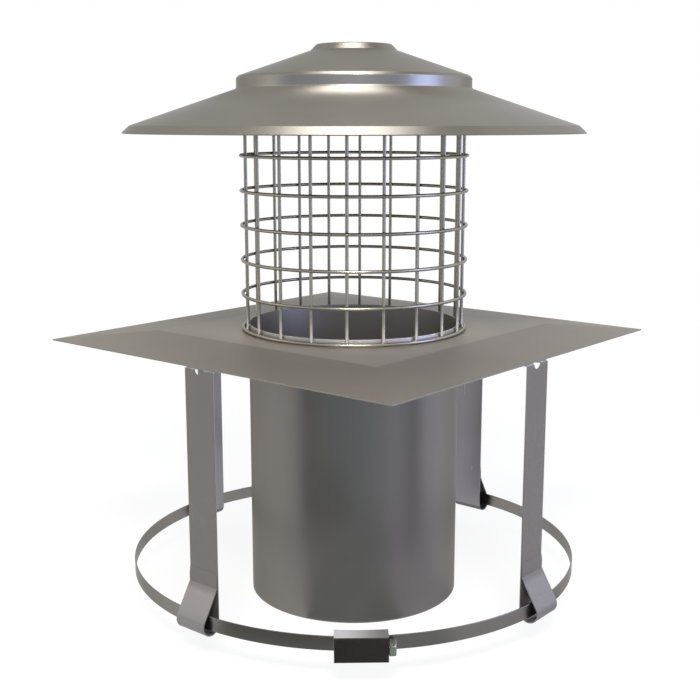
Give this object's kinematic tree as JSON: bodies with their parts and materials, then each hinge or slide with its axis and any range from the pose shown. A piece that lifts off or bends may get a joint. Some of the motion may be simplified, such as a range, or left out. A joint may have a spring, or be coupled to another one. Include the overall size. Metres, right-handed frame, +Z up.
{
  "type": "chimney cap",
  "caption": "Chimney pot cap: stepped cone roof over a round wire bird guard, on a square plate with a flue tube and strap clamp legs.",
  "frame": {"origin": "on the flue tube's axis, at the underside of the base plate's flat middle, where the plate seats on the pot", "axes": "+Z up along the flue, X and Y square to the base plate's sides, with a leg on each of the four half-axes and the clamp between +X and -Y"},
  "size_m": [0.3292, 0.3292, 0.3892],
  "materials": {
    "cap_steel": "satin spun sheet",
    "plate_steel": "satin pressed sheet",
    "tube_steel": "satin rolled sheet",
    "guard_wire": "drawn wire, spot welded",
    "leg_steel": "satin strip",
    "strap_steel": "satin strip",
    "clamp_steel": "smooth pressed steel",
    "screw_steel": "plated steel"
  },
  "bodies": {
    "cowl": {"cap": "cap_steel", "base_plate": "plate_steel", "flue_tube": "tube_steel", "guard_upright_01": "guard_wire", "guard_upright_02": "guard_wire", "guard_upright_03": "guard_wire", "guard_upright_04": "guard_wire", "guard_upright_05": "guard_wire", "guard_upright_06": "guard_wire", "guard_upright_07": "guard_wire", "guard_upright_08": "guard_wire", "guard_upright_09": "guard_wire", "guard_upright_10": "guard_wire", "guard_upright_11": "guard_wire", "guard_upright_12": "guard_wire", "guard_upright_13": "guard_wire", "guard_upright_14": "guard_wire", "guard_upright_15": "guard_wire", "guard_upright_16": "guard_wire", "guard_upright_17": "guard_wire", "guard_upright_18": "guard_wire", "guard_upright_19": "guard_wire", "guard_upright_20": "guard_wire", "guard_ring_1": "guard_wire", "guard_ring_2": "guard_wire", "guard_ring_3": "guard_wire", "guard_ring_4": "guard_wire", "guard_ring_5": "guard_wire", "guard_ring_6": "guard_wire", "guard_ring_7": "guard_wire", "guard_ring_8": "guard_wire", "leg_front_right": "leg_steel", "leg_back_right": "leg_steel", "leg_back_left": "leg_steel", "leg_front_left": "leg_steel", "clamp_band": "strap_steel", "clamp_housing": "clamp_steel"},
    "clamp_screw": {"clamp_screw": "screw_steel"}
  },
  "joints": [
    {"name": "clamp_screw_turn", "type": "hinge", "parent": "cowl", "child": "clamp_screw", "pos_m": [0.10869, -0.12504, -0.1668], "axis": [0.7547, 0.6561, 0], "continuous": true}
  ]
}
